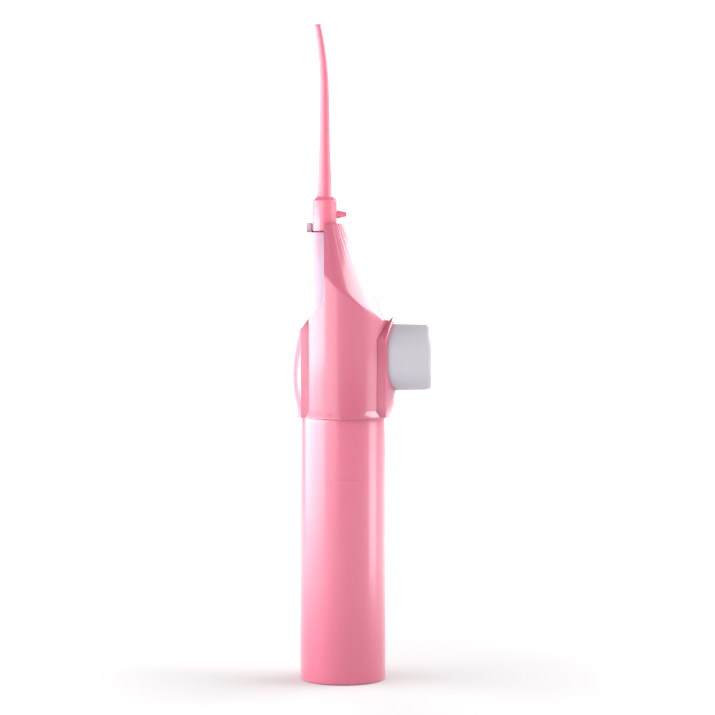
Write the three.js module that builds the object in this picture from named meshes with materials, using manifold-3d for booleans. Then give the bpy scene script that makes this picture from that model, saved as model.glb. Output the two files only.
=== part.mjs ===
// Hand-pumped water flosser: a round tank that screws up into a housing, a housing of two covers
// over a chassis, a side button that drives a piston pump, and a slender nozzle with a bent tip.
// Millimetres, +Z up. The origin is the centre of the tank's flat base, the tank's axis is +Z,
// and the button faces +X.

import * as THREE from "three";
import { mergeVertices } from "three/addons/utils/BufferGeometryUtils.js";
import Module from "manifold-3d";

const wasm = await Module();
wasm.setup();

// ---- Driving dimensions ----

const GAP = 0.3; // clearance between neighbouring pieces
const ROUND = 48; // sides of the large turned pieces
const SMALL_ROUND = 20; // sides of the small turned pieces

// Tank
const TANK_RADIUS = 17.3;
const TANK_WALL = 1.3;
const TANK_FLOOR = 1.8;
const TANK_HEIGHT = 107;
const TANK_BASE_FILLET = 1.6;
const TANK_NECK_RADIUS = 14.2;
const TANK_NECK_BORE = 12.9;
const TANK_NECK_TOP = 112.8;

// Two-start thread between the tank's neck and the housing's socket
const THREAD_LEAD = 6;
const THREAD_STARTS = 2;
const THREAD_SPAN = (2 * Math.PI) / 3; // angle that each rib runs
const THREAD_RIB = 0.9; // a rib's height along the axis
const THREAD_REACH = 0.8; // how far a rib stands off its wall

// Housing
const SEAM_Z = TANK_HEIGHT + GAP;
const SOCKET_BORE = 15.4;
const SOCKET_RADIUS = 16.8;
const SOCKET_ROOF = 1.6;
const SOCKET_ROOF_TOP = 116.2;
const GASKET_THICKNESS = 1.2;
const COVER_RADIUS = 18.2;
const COVER_WALL = 1.1;
const COVER_FLARE_RADIUS = 19.3;
const COVER_FLARE_TOP = 110.9;
const COVER_TOP = 185;
const CONE_TOP_RADIUS = 7.5;
const CONE_SLOPE = 0.455; // growth of the cone's radius for each millimetre down
const BAND_HALF_WIDTH = 11.7;
const BAND_WALL = 0.8;
const BAND_RADIUS = 20.9;
const BAND_TOP = 147.6;

// Nozzle and its neck
const NOZZLE_X = -7.3;
const NOZZLE_TIP = 264.9;
const COLLAR_RADIUS = 5;
const COLLAR_BOTTOM = 181.9;
const COLLAR_TOP = 194.4;
const STEM_RADIUS = 2.75;
const STEM_BOTTOM = 169.6;
const NECK_RADIUS = 7.3;
const NECK_INNER_RADIUS = 6.1;
const NECK_BORE = 5.3;
const NECK_BOTTOM = 146;
const NECK_TOP = 185.2;
const NECK_SEAT = 181.4;

// Pump
const PUMP_Z = 131;
const PORT_X = -10.3;
const PORT_RADIUS = 0.8;
const BARREL_RADIUS = 7.4;
const BARREL_BORE = 6.2;
const BARREL_END = -13.2;
const BARREL_MOUTH = 6;
const BUTTON_FACE_X = 35.7;
const BUTTON_ROOT_X = 17.2;
const BUTTON_RADIUS = 10.4;
const BUTTON_STRAIGHT = 3.1; // half the straight side of the button's outline
const BUTTON_WALL = 1.4;
const PISTON_REST_X = 2.1;
const PISTON_LENGTH = 3.6;
const ROD_RADIUS = 2;
const BALL_RADIUS = 1.5;

// Spring
const SPRING_RADIUS = 5.3;
const SPRING_WIRE = 0.45;
const SPRING_TURNS = 7;
const SPRING_STEPS = 10; // steps in each turn of the spring

// ---- Geometry helpers ----

// A closed geometry as a manifold-3d solid with its faces pointing out.
function solid(geometry) {
  const bare = geometry.clone();
  bare.deleteAttribute("normal");
  bare.deleteAttribute("uv");
  const merged = mergeVertices(bare, 1e-4);
  const index = merged.index.array;
  const position = merged.attributes.position;
  const corners = [new THREE.Vector3(), new THREE.Vector3(), new THREE.Vector3()];
  const triangles = [];
  let volume = 0;
  for (let i = 0; i < index.length; i += 3) {
    const [a, b, c] = [index[i], index[i + 1], index[i + 2]];
    if (a === b || b === c || c === a) continue;
    corners.forEach((corner, k) => corner.fromBufferAttribute(position, [a, b, c][k]));
    volume += corners[0].dot(corners[1].clone().cross(corners[2]));
    triangles.push([a, b, c]);
  }
  const wound = volume < 0 ? triangles.map(([a, b, c]) => [a, c, b]) : triangles;
  return new wasm.Manifold(
    new wasm.Mesh({
      numProp: 3,
      vertProperties: new Float32Array(position.array),
      triVerts: new Uint32Array(wound.flat()),
    }),
  );
}

// A manifold-3d solid as a three.js geometry.
function geometryOf(made) {
  const { vertProperties, triVerts } = made.getMesh();
  const geometry = new THREE.BufferGeometry();
  geometry.setAttribute("position", new THREE.BufferAttribute(vertProperties, 3));
  geometry.setIndex(new THREE.BufferAttribute(triVerts, 1));
  geometry.computeVertexNormals();
  return geometry;
}

const join = (...solids) => solids.reduce((whole, next) => whole.add(next));
const cut = (whole, ...tools) => tools.reduce((rest, tool) => rest.subtract(tool), whole);
const common = (...solids) => solids.reduce((whole, next) => whole.intersect(next));

// The profile [[radius, height], ...] as lathe points, closed on itself where it isn't on the axis.
function lathePoints(profile) {
  const points = profile.map(([radius, height]) => new THREE.Vector2(radius, height));
  const onAxis = profile[0][0] === 0 && profile[profile.length - 1][0] === 0;
  if (!onAxis) points.push(points[0].clone());
  return points;
}

// A solid turned about the vertical line through x, y. The profile's heights are along Z.
function turned(profile, { x = 0, y = 0, sides = ROUND } = {}) {
  const geometry = new THREE.LatheGeometry(lathePoints(profile), sides);
  return solid(geometry.rotateX(Math.PI / 2).translate(x, y, 0));
}

// A solid turned about the line along X through y, z. The profile's heights are along X.
function turnedAlongX(profile, { y = 0, z = 0, sides = ROUND } = {}) {
  const geometry = new THREE.LatheGeometry(lathePoints(profile), sides);
  return solid(geometry.rotateZ(-Math.PI / 2).translate(0, y, z));
}

const cylinder = (radius, z0, z1, place) => turned([[0, z0], [radius, z0], [radius, z1], [0, z1]], place);
const cylinderAlongX = (radius, x0, x1, place) =>
  turnedAlongX([[0, x0], [radius, x0], [radius, x1], [0, x1]], place);
const tube = (bore, radius, z0, z1, place) =>
  turned([[bore, z0], [radius, z0], [radius, z1], [bore, z1]], place);

function box(x0, x1, y0, y1, z0, z1) {
  const geometry = new THREE.BoxGeometry(x1 - x0, y1 - y0, z1 - z0);
  return solid(geometry.translate((x0 + x1) / 2, (y0 + y1) / 2, (z0 + z1) / 2));
}

// An outline in X and Z, extruded along Y.
function prismAlongY(outline, y0, y1) {
  const corners = outline instanceof THREE.Shape ? null : outline.map(([x, z]) => new THREE.Vector2(x, z));
  const shape = corners ? new THREE.Shape(corners) : outline;
  const geometry = new THREE.ExtrudeGeometry(shape, {
    depth: y1 - y0,
    bevelEnabled: false,
    curveSegments: 8,
  });
  return solid(geometry.rotateX(Math.PI / 2).translate(0, y1, 0));
}

// An outline in Y and Z, extruded along X, with its far edge rounded where bevel is given.
function prismAlongX(shape, x0, x1, bevel = 0) {
  const geometry = new THREE.ExtrudeGeometry(shape, {
    depth: x1 - x0 - 2 * bevel,
    bevelEnabled: bevel > 0,
    bevelSize: bevel,
    bevelThickness: bevel,
    bevelOffset: -bevel,
    bevelSegments: 3,
    curveSegments: 11,
  });
  const basis = new THREE.Matrix4().makeBasis(
    new THREE.Vector3(0, 1, 0),
    new THREE.Vector3(0, 0, 1),
    new THREE.Vector3(1, 0, 0),
  );
  return solid(geometry.applyMatrix4(basis).translate(x0 + bevel, 0, 0));
}

// A straight-sided oval in Y and Z, centred on the pump's axis.
function oval(radius, straight) {
  const shape = new THREE.Shape();
  shape.absarc(0, PUMP_Z + straight, radius, 0, Math.PI);
  shape.absarc(0, PUMP_Z - straight, radius, Math.PI, 2 * Math.PI);
  shape.closePath();
  return shape;
}

// A round ring, such as an O-ring, about the vertical line through x.
function ring(radius, thickness, z, x) {
  return solid(new THREE.TorusGeometry(radius, thickness, 6, 22).translate(x, 0, z));
}

// One rib of the screw thread between two radii. It climbs THREAD_LEAD in a full turn.
function threadRib(inner, outer, startZ, startAngle) {
  const steps = 16;
  const positions = [];
  const index = [];
  for (let i = 0; i <= steps; i += 1) {
    const turn = (THREAD_SPAN * i) / steps;
    const angle = startAngle + turn;
    const z = startZ + (THREAD_LEAD * turn) / (2 * Math.PI);
    for (const [radius, rise] of [[inner, -1], [outer, -0.6], [outer, 0.6], [inner, 1]]) {
      positions.push(radius * Math.cos(angle), radius * Math.sin(angle), z + (rise * THREAD_RIB) / 2);
    }
    if (i === steps) continue;
    for (let k = 0; k < 4; k += 1) {
      const [a, b] = [4 * i + k, 4 * i + ((k + 1) % 4)];
      index.push(a, b, b + 4, a, b + 4, a + 4);
    }
  }
  const last = 4 * steps;
  index.push(0, 2, 1, 0, 3, 2, last, last + 1, last + 2, last, last + 2, last + 3);
  const geometry = new THREE.BufferGeometry();
  geometry.setAttribute("position", new THREE.Float32BufferAttribute(positions, 3));
  geometry.setIndex(index);
  return solid(geometry);
}

const threadRibs = (inner, outer, startZ) =>
  Array.from({ length: THREAD_STARTS }, (_, start) =>
    threadRib(inner, outer, startZ, (2 * Math.PI * start) / THREAD_STARTS),
  );

// ---- Materials ----

const finish = (color, roughness, metalness = 0) => () =>
  new THREE.MeshStandardMaterial({ color, roughness, metalness });
const pinkPlastic = finish(0xfa91a5, 0.25);
const nozzlePlastic = finish(0xf98fa6, 0.3);
const whitePlastic = finish(0xcfcad3, 0.35);
const palePlastic = finish(0xf5e6f4, 0.35);
const naturalPlastic = finish(0xe8e8e4, 0.45);
const silicone = finish(0xdfe3e6, 0.5);
const rubber = finish(0x2f2f33, 0.7);
const steel = finish(0xb9bcc0, 0.3, 1);

// ---- Tank ----

function tank() {
  const inner = TANK_RADIUS - TANK_WALL;
  const shell = turned([
    [0, 0],
    [TANK_RADIUS - TANK_BASE_FILLET, 0],
    [TANK_RADIUS - 0.47 * TANK_BASE_FILLET, 0.16 * TANK_BASE_FILLET],
    [TANK_RADIUS - 0.13 * TANK_BASE_FILLET, 0.5 * TANK_BASE_FILLET],
    [TANK_RADIUS, TANK_BASE_FILLET],
    [TANK_RADIUS, TANK_HEIGHT - 0.4],
    [TANK_RADIUS - 0.4, TANK_HEIGHT],
    [TANK_NECK_RADIUS, TANK_HEIGHT],
    [TANK_NECK_RADIUS, TANK_NECK_TOP],
    [TANK_NECK_BORE, TANK_NECK_TOP],
    [TANK_NECK_BORE, TANK_HEIGHT - TANK_WALL],
    [inner, TANK_HEIGHT - TANK_WALL - (inner - TANK_NECK_BORE)],
    [inner, TANK_FLOOR + 1.4],
    [inner - 1.4, TANK_FLOOR],
    [0, TANK_FLOOR],
  ]);
  const ribs = threadRibs(TANK_NECK_RADIUS - 0.4, TANK_NECK_RADIUS + THREAD_REACH, TANK_HEIGHT + 1.9);
  return join(shell, ...ribs);
}

const gasketTop = SOCKET_ROOF_TOP - SOCKET_ROOF - GAP;
const tankGasket = () =>
  tube(TANK_NECK_BORE, TANK_NECK_RADIUS + 0.2, gasketTop - GASKET_THICKNESS, gasketTop);

// ---- Housing: the outer form of the covers ----

const coneRadius = (z) => CONE_TOP_RADIUS + CONE_SLOPE * (COVER_TOP - z);

// The covers' outer form, or the form a wall's thickness inside it: a cylinder on the tank's axis
// that meets a cone on the nozzle's axis.
function coverForm(inset, top) {
  const radius = COVER_RADIUS - inset;
  const flare = inset > 0 ? radius : COVER_FLARE_RADIUS;
  const barrel = turned([
    [0, SEAM_Z - inset],
    [flare, SEAM_Z - inset],
    [flare, SEAM_Z + 0.6],
    [radius, COVER_FLARE_TOP],
    [radius, top],
    [0, top],
  ]);
  const sideInset = inset * Math.hypot(1, CONE_SLOPE);
  const cone = turned(
    [
      [0, SEAM_Z - inset - 1],
      [coneRadius(SEAM_Z - inset - 1) - sideInset, SEAM_Z - inset - 1],
      [coneRadius(top) - sideInset, top],
      [0, top],
    ],
    { x: NOZZLE_X },
  );
  return common(barrel, cone);
}

// The covers' left edge: down beside the neck, then out in a hollow curve to the shoulder. The
// outline takes in everything left of that edge, moved right by offset.
function leftOpening(offset) {
  const edge = NOZZLE_X - 0.2 + offset;
  const shape = new THREE.Shape();
  shape.moveTo(edge, COVER_TOP + 8);
  shape.lineTo(edge, 158);
  shape.bezierCurveTo(edge, 153, edge - 2.6, 150.5, -13.6 + offset, 148.2 - offset);
  shape.lineTo(-17.2 + offset, 143 - offset);
  shape.lineTo(-22, 139.2 - offset);
  shape.lineTo(-32, 139.2 - offset);
  shape.lineTo(-32, COVER_TOP + 8);
  shape.closePath();
  return shape;
}

// The part of the chassis that shows between the covers, with clearance added: flat-sided, and
// round-topped on the button's side, where its lip flares out.
const ARCH_Z = 132.5;
const ARCH_RADIUS = 13;
const ARCH_LIP_X = 17.4;
function bandForm(halfWidth, archRadius, bottom, leftOutline) {
  const slab = box(0, 24, -halfWidth, halfWidth, bottom, ARCH_Z);
  const arch = turnedAlongX(
    [
      [0, 0],
      [archRadius, 0],
      [archRadius, ARCH_LIP_X],
      [archRadius + 2.4, ARCH_LIP_X + 4],
      [0, ARCH_LIP_X + 4],
    ],
    { z: ARCH_Z },
  );
  const upper = common(arch, box(-1, 24, -halfWidth, halfWidth, ARCH_Z - 1, 150));
  return join(slab, upper, prismAlongY(leftOutline, -halfWidth, halfWidth));
}

const bandOutline = (bottom, inset, roof) => [
  [-24, bottom],
  [-24, 136.4 - inset],
  [-18.8 + 0.6 * inset, 141.2 - inset],
  [-17 + 0.7 * inset, 143 - inset],
  [-13.4 + 0.7 * inset, roof],
  [0.5, roof],
  [0.5, bottom],
];

// ---- Housing: covers ----

const PEG_PLACES = [[-8, 137], [8, 122]];

function cover(side) {
  const shell = cut(coverForm(0, COVER_TOP), coverForm(COVER_WALL, COVER_TOP + 2));
  const half = side < 0 ? box(-40, 40, -40, -0.1, 100, 200) : box(-40, 40, 0.1, 40, 100, 200);
  const clearance = bandForm(
    BAND_HALF_WIDTH + GAP,
    ARCH_RADIUS + GAP,
    SEAM_Z - 4,
    bandOutline(SEAM_Z - 4, -GAP, BAND_TOP + GAP),
  );
  const lowerSides = box(-40, -9, -BAND_HALF_WIDTH - GAP, BAND_HALF_WIDTH + GAP, SEAM_Z - 4, 149);
  const trimmed = cut(common(shell, half), clearance, lowerSides, prismAlongY(leftOpening(0), -30, 30));
  const pegs = PEG_PLACES.map(([x, z]) => {
    const wall = Math.sqrt((COVER_RADIUS - 0.5) ** 2 - x ** 2);
    const peg = new THREE.CylinderGeometry(1.2, 1.2, wall - 11.1, 14);
    return solid(peg.translate(x, (side * (wall + 11.1)) / 2, z));
  });
  return join(trimmed, ...pegs);
}

// ---- Housing: chassis ----

// Where the chassis shows between the covers it bellies out, lower down on the button's side.
const SPINE_BELLY = [
  [0, SEAM_Z],
  [COVER_FLARE_RADIUS, SEAM_Z],
  [COVER_FLARE_RADIUS, 111],
  [BAND_RADIUS - 0.7, 115.5],
  [BAND_RADIUS - 0.1, 121],
  [BAND_RADIUS - 0.5, 131],
  [BAND_RADIUS - 2.1, 141.5],
  [BAND_RADIUS - 3, 149],
  [0, 149],
];
const BUTTON_BELLY = [
  [0, SEAM_Z],
  [COVER_FLARE_RADIUS, SEAM_Z],
  [COVER_FLARE_RADIUS + 0.2, 108.4],
  [BAND_RADIUS, 111.4],
  [BAND_RADIUS + 0.3, 115],
  [BAND_RADIUS, 124],
  [BAND_RADIUS - 0.6, 149],
  [0, 149],
];

// The room inside the chassis follows the belly of its spine, a wall's thickness in.
const BAND_ROOM = [
  [0, SOCKET_ROOF_TOP],
  [BAND_RADIUS - 1.5, SOCKET_ROOF_TOP],
  [BAND_RADIUS - 1.5, 129],
  [BAND_RADIUS - 3.4, 141.5],
  [BAND_RADIUS - 4.2, 149],
  [0, 149],
];

function chassis() {
  const spineSide = common(turned(SPINE_BELLY), box(-40, 0, -40, 40, 100, 200));
  const buttonSide = common(turned(BUTTON_BELLY), box(0, 40, -40, 40, 100, 200));
  const band = common(
    join(spineSide, buttonSide),
    bandForm(BAND_HALF_WIDTH, ARCH_RADIUS, SEAM_Z, bandOutline(SEAM_Z, 0, BAND_TOP)),
  );
  const socket = cylinder(SOCKET_RADIUS, SEAM_Z, SOCKET_ROOF_TOP);
  const roofUnderside = SOCKET_ROOF_TOP - SOCKET_ROOF;
  const hollow = common(
    turned(BAND_ROOM),
    bandForm(
      BAND_HALF_WIDTH - BAND_WALL,
      ARCH_RADIUS - 0.6,
      SOCKET_ROOF_TOP,
      bandOutline(SOCKET_ROOF_TOP, 1.4, BAND_TOP - 1.6),
    ),
  );
  const shell = cut(
    join(band, socket),
    cylinder(SOCKET_BORE, SEAM_Z - 1, roofUnderside),
    hollow,
    prismAlongX(oval(BUTTON_RADIUS + 0.35, BUTTON_STRAIGHT), 13, 25),
    cylinder(NECK_INNER_RADIUS + GAP, BAND_TOP - 3, BAND_TOP + 3, { x: NOZZLE_X, sides: 32 }),
    cylinder(2.2, SOCKET_ROOF_TOP - 3, SOCKET_ROOF_TOP + 1, { x: PORT_X, sides: SMALL_ROUND }),
    cylinder(0.7, SOCKET_ROOF_TOP - 3, SOCKET_ROOF_TOP + 1, { x: 9, sides: 12 }),
    ...PEG_PLACES.map(([x, z]) => {
      const bore = new THREE.CylinderGeometry(1.5, 1.5, 2 * BAND_HALF_WIDTH + 2, 14);
      return solid(bore.translate(x, 0, z));
    }),
  );
  const cradles = [-6, 1.6].map((x) =>
    cut(
      box(x, x + 1.4, -BAND_HALF_WIDTH + 0.4, BAND_HALF_WIDTH - 0.4, SOCKET_ROOF_TOP - 0.5, 129),
      cylinderAlongX(BARREL_RADIUS + GAP, -20, 20, { z: PUMP_Z }),
    ),
  );
  const ribs = threadRibs(SOCKET_BORE - THREAD_REACH, SOCKET_BORE + 0.4, TANK_HEIGHT + 0.4 + THREAD_RIB / 2);
  return join(shell, ...cradles, ...ribs);
}

// ---- Neck: a round tube with a curved wall that closes the covers' open left side ----

function neck() {
  const place = { x: NOZZLE_X, sides: 36 };
  const core = cylinder(NECK_INNER_RADIUS, NECK_BOTTOM, NECK_TOP - 0.5, place);
  const leftHalf = common(
    cylinder(NECK_RADIUS, BAND_TOP + GAP, NECK_TOP, place),
    box(-40, NOZZLE_X - 0.2 - GAP, -20, 20, 100, 200),
  );
  const wall = common(
    cut(
      prismAlongY(leftOpening(1.6), -20, 20),
      prismAlongY(leftOpening(0.2), -30, 30),
      cylinder(40, 90, BAND_TOP + GAP),
    ),
    coverForm(COVER_WALL + GAP, COVER_TOP - 3),
  );
  const notch = box(NOZZLE_X - 5.8, NOZZLE_X + 0.3, -10, 0, NECK_SEAT, NECK_TOP + 2);
  const bore = cylinder(NECK_BORE, NECK_BOTTOM - 1, NECK_TOP + 1, place);
  return cut(join(core, leftHalf, wall), bore, notch);
}

// ---- Nozzle ----

const BEND_START = 236;
const BEND_REACH = 2.7;

// How far the nozzle's centre line has moved towards -X at a height.
const bend = (z) => (z < BEND_START ? 0 : BEND_REACH * ((z - BEND_START) / (NOZZLE_TIP - BEND_START)) ** 2.2);

function nozzle() {
  const place = { x: NOZZLE_X, sides: 22 };
  const body = turned(
    [
      [0.9, STEM_BOTTOM],
      [STEM_RADIUS - 0.3, STEM_BOTTOM],
      [STEM_RADIUS, STEM_BOTTOM + 0.4],
      [STEM_RADIUS, 172.3],
      [2.1, 172.3],
      [2.1, 173.7],
      [STEM_RADIUS, 173.7],
      [STEM_RADIUS, COLLAR_BOTTOM],
      [COLLAR_RADIUS, COLLAR_BOTTOM],
      [COLLAR_RADIUS, COLLAR_TOP],
      [4.2, COLLAR_TOP + 0.9],
      [3.2, COLLAR_TOP + 1.4],
      [2.95, COLLAR_TOP + 4],
      [2.6, 207],
      [2.35, 214],
      [2, 234],
      [1.86, 241],
      [1.75, 248],
      [1.65, 254],
      [1.55, 259],
      [1.47, 263],
      [1.25, NOZZLE_TIP - 0.4],
      [0.8, NOZZLE_TIP],
      [0.45, NOZZLE_TIP],
      [0.45, 259],
      [0.5, 254],
      [0.55, 248],
      [0.6, 241],
      [0.65, 234],
      [0.9, 200],
    ],
    place,
  );
  const peg = turnedAlongX(
    [
      [0, NOZZLE_X + 3],
      [1.65, NOZZLE_X + 3],
      [1.65, NOZZLE_X + COLLAR_RADIUS - 0.3],
      [0.95, NOZZLE_X + 8.4],
      [0.6, NOZZLE_X + 8.8],
      [0, NOZZLE_X + 8.8],
    ],
    { z: 188.7, sides: 16 },
  );
  const geometry = geometryOf(join(body, peg));
  const position = geometry.attributes.position;
  for (let i = 0; i < position.count; i += 1) {
    position.setX(i, position.getX(i) - bend(position.getZ(i)));
  }
  return solid(geometry);
}

const nozzleSeal = () => ring(2.55, 0.4, 173, NOZZLE_X);

// ---- Swivel: the sleeve that the nozzle's stem pushes into, and the outlet below it ----

const SLEEVE_BOTTOM = 162.4;
const SPIGOT_BOTTOM = 160;

function swivelSleeve() {
  return turned(
    [
      [2.4, SLEEVE_BOTTOM],
      [4.95, SLEEVE_BOTTOM],
      [4.95, 165.4],
      [4.3, 165.4],
      [4.3, 166.6],
      [4.95, 166.6],
      [4.95, NECK_SEAT - 0.1],
      [3.15, NECK_SEAT - 0.1],
      [3.15, 168.9],
      [2.4, 168.9],
    ],
    { x: NOZZLE_X, sides: 28 },
  );
}

const sleeveSeal = () => ring(4.76, 0.42, 166, NOZZLE_X);

function hoseSpigot() {
  return turned(
    [
      [PORT_RADIUS, SPIGOT_BOTTOM - 3.6],
      [1.15, SPIGOT_BOTTOM - 3.6],
      [1.15, SPIGOT_BOTTOM],
      [NECK_BORE - 0.2, SPIGOT_BOTTOM],
      [NECK_BORE - 0.2, SPIGOT_BOTTOM + 2],
      [2.1, SPIGOT_BOTTOM + 2],
      [2.1, SPIGOT_BOTTOM + 5],
      [PORT_RADIUS, SPIGOT_BOTTOM + 5],
    ],
    { x: NOZZLE_X, sides: SMALL_ROUND },
  );
}

const OUTLET_TOP = 145.4;

function outletHose() {
  const section = new THREE.Shape();
  section.absarc(0, 0, 2, 0, 2 * Math.PI);
  const bore = new THREE.Path();
  bore.absarc(0, 0, 1.45, 0, 2 * Math.PI);
  section.holes.push(bore);
  const start = OUTLET_TOP + GAP;
  const end = SPIGOT_BOTTOM - GAP;
  const route = new THREE.CubicBezierCurve3(
    new THREE.Vector3(PORT_X, 0, start),
    new THREE.Vector3(PORT_X, 0, start + 7.5),
    new THREE.Vector3(NOZZLE_X, 0, end - 7.5),
    new THREE.Vector3(NOZZLE_X, 0, end),
  );
  return solid(
    new THREE.ExtrudeGeometry(section, {
      steps: 12,
      curveSegments: 5,
      bevelEnabled: false,
      extrudePath: route,
    }),
  );
}

// ---- Pump ----

const PORT_NIPPLE = 1.5;

function pumpBarrel() {
  const place = { z: PUMP_Z, sides: 40 };
  const shell = join(
    cylinderAlongX(BARREL_RADIUS, BARREL_END, BARREL_MOUTH, place),
    cylinder(PORT_NIPPLE, PUMP_Z - BARREL_RADIUS - 1.3, PUMP_Z + BARREL_RADIUS + 1.3, {
      x: PORT_X,
      sides: SMALL_ROUND,
    }),
  );
  return cut(
    shell,
    cylinderAlongX(BARREL_BORE, BARREL_END + 1.5, BARREL_MOUTH + 1, place),
    cylinder(PORT_RADIUS, 100, 160, { x: PORT_X, sides: SMALL_ROUND }),
  );
}

function barrelCap() {
  return turnedAlongX(
    [
      [ROD_RADIUS + 0.3, BARREL_MOUTH + GAP],
      [BARREL_RADIUS, BARREL_MOUTH + GAP],
      [BARREL_RADIUS, BARREL_MOUTH + 2],
      [BARREL_RADIUS - 0.5, BARREL_MOUTH + 2.3],
      [ROD_RADIUS + 0.3, BARREL_MOUTH + 2.3],
    ],
    { z: PUMP_Z, sides: 32 },
  );
}

function piston() {
  const x = PISTON_REST_X;
  return turnedAlongX(
    [
      [0, x],
      [5.5, x],
      [5.9, x + 0.4],
      [5.9, x + 1.1],
      [5, x + 1.1],
      [5, x + 2.5],
      [5.9, x + 2.5],
      [5.9, x + PISTON_LENGTH],
      [1.7, x + PISTON_LENGTH],
      [1.7, x + 1],
      [0, x + 1],
    ],
    { z: PUMP_Z, sides: 32 },
  );
}

function pistonSeal() {
  const torus = new THREE.TorusGeometry(5.58, 0.48, 6, 24).rotateY(Math.PI / 2);
  return solid(torus.translate(PISTON_REST_X + 1.8, 0, PUMP_Z));
}

const ROD_END = BUTTON_FACE_X - 2.1;

function pistonRod() {
  const head = PISTON_REST_X + PISTON_LENGTH + GAP;
  return turnedAlongX(
    [
      [0, PISTON_REST_X + 1.3],
      [1.4, PISTON_REST_X + 1.3],
      [1.4, head],
      [ROD_RADIUS, head],
      [ROD_RADIUS, ROD_END - 0.4],
      [ROD_RADIUS - 0.4, ROD_END],
      [0, ROD_END],
    ],
    { z: PUMP_Z, sides: SMALL_ROUND },
  );
}

function button() {
  const cap = common(
    prismAlongX(oval(BUTTON_RADIUS, BUTTON_STRAIGHT), BUTTON_ROOT_X - 4, BUTTON_FACE_X, 1.8),
    box(BUTTON_ROOT_X, 50, -20, 20, 100, 160),
  );
  const hollow = prismAlongX(
    oval(BUTTON_RADIUS - BUTTON_WALL, BUTTON_STRAIGHT),
    BUTTON_ROOT_X - 5,
    BUTTON_FACE_X - BUTTON_WALL,
  );
  const boss = cylinderAlongX(3.5, 26, BUTTON_FACE_X - 1, { z: PUMP_Z, sides: 24 });
  const socket = cylinderAlongX(ROD_RADIUS + GAP, 20, ROD_END + GAP, { z: PUMP_Z, sides: 24 });
  return cut(join(cut(cap, hollow), boss), socket);
}

function returnSpring() {
  const from = BARREL_MOUTH + 2.3 + GAP + SPRING_WIRE;
  const to = BUTTON_FACE_X - BUTTON_WALL - GAP - SPRING_WIRE;
  const steps = SPRING_STEPS * SPRING_TURNS;
  const section = new THREE.Shape();
  section.absarc(0, 0, SPRING_WIRE, 0, 2 * Math.PI);
  const points = Array.from({ length: steps + 1 }, (_, i) => {
    const angle = (2 * Math.PI * i) / SPRING_STEPS;
    const x = from + ((to - from) * i) / steps;
    return new THREE.Vector3(x, SPRING_RADIUS * Math.cos(angle), PUMP_Z + SPRING_RADIUS * Math.sin(angle));
  });
  const coil = new THREE.CatmullRomCurve3(points);
  return solid(
    new THREE.ExtrudeGeometry(section, {
      steps,
      curveSegments: 3,
      bevelEnabled: false,
      extrudePath: coil,
    }),
  );
}

// ---- Valves: each body holds a ball over its seat ----

const SEAT_RISE = Math.sqrt(BALL_RADIUS ** 2 - PORT_RADIUS ** 2) + 0.1; // the ball's centre above its seat
const VALVE_RADIUS = 3;
const VALVE_CHAMBER = 2;
const INLET_SEAT = 118.2;
const OUTLET_SEAT = 141;

function inletValveBody() {
  const top = PUMP_Z - BARREL_RADIUS - GAP;
  return turned(
    [
      [PORT_RADIUS, 109],
      [1.4, 109],
      [1.4, 117],
      [VALVE_RADIUS, 117],
      [VALVE_RADIUS, top],
      [PORT_NIPPLE + 0.2, top],
      [PORT_NIPPLE + 0.2, 121.8],
      [1.2, 121.8],
      [1.2, 121.4],
      [VALVE_CHAMBER, 121.4],
      [VALVE_CHAMBER, INLET_SEAT],
      [PORT_RADIUS, INLET_SEAT],
    ],
    { x: PORT_X, sides: SMALL_ROUND },
  );
}

function outletValveBody() {
  const bottom = PUMP_Z + BARREL_RADIUS + GAP;
  return turned(
    [
      [PORT_NIPPLE + 0.2, bottom],
      [VALVE_RADIUS, bottom],
      [VALVE_RADIUS, OUTLET_TOP],
      [1.15, OUTLET_TOP],
      [1.15, OUTLET_TOP + 3.4],
      [PORT_RADIUS, OUTLET_TOP + 3.4],
      [PORT_RADIUS, 144.3],
      [VALVE_CHAMBER, 144.3],
      [VALVE_CHAMBER, OUTLET_SEAT],
      [PORT_RADIUS, OUTLET_SEAT],
      [PORT_RADIUS, 140.2],
      [PORT_NIPPLE + 0.2, 140.2],
    ],
    { x: PORT_X, sides: SMALL_ROUND },
  );
}

const valveBall = (seat) =>
  solid(new THREE.SphereGeometry(BALL_RADIUS, 14, 9).translate(PORT_X, 0, seat + SEAT_RISE));

// ---- Intake ----

const DIP_BOTTOM = 6;
const DIP_RADIUS = 2.2;

const dipTube = () =>
  tube(1.65, DIP_RADIUS, DIP_BOTTOM, SOCKET_ROOF_TOP - SOCKET_ROOF - GAP, { x: PORT_X, sides: SMALL_ROUND });

function intakeStrainer() {
  const place = { x: PORT_X, sides: SMALL_ROUND };
  const cup = cut(cylinder(3.2, 2.3, 11, place), cylinder(DIP_RADIUS + 0.25, 3.5, 12, place));
  const slots = [0, 1, 2].map((i) => {
    const slot = new THREE.BoxGeometry(8, 0.9, 2).rotateZ((i * Math.PI) / 3);
    return solid(slot.translate(PORT_X, 0, 4.7));
  });
  return cut(cup, ...slots);
}

// ---- Assembly ----

const group = new THREE.Group();
function place(name, made, material) {
  const mesh = new THREE.Mesh(geometryOf(made), material());
  mesh.name = name;
  group.add(mesh);
}

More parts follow.
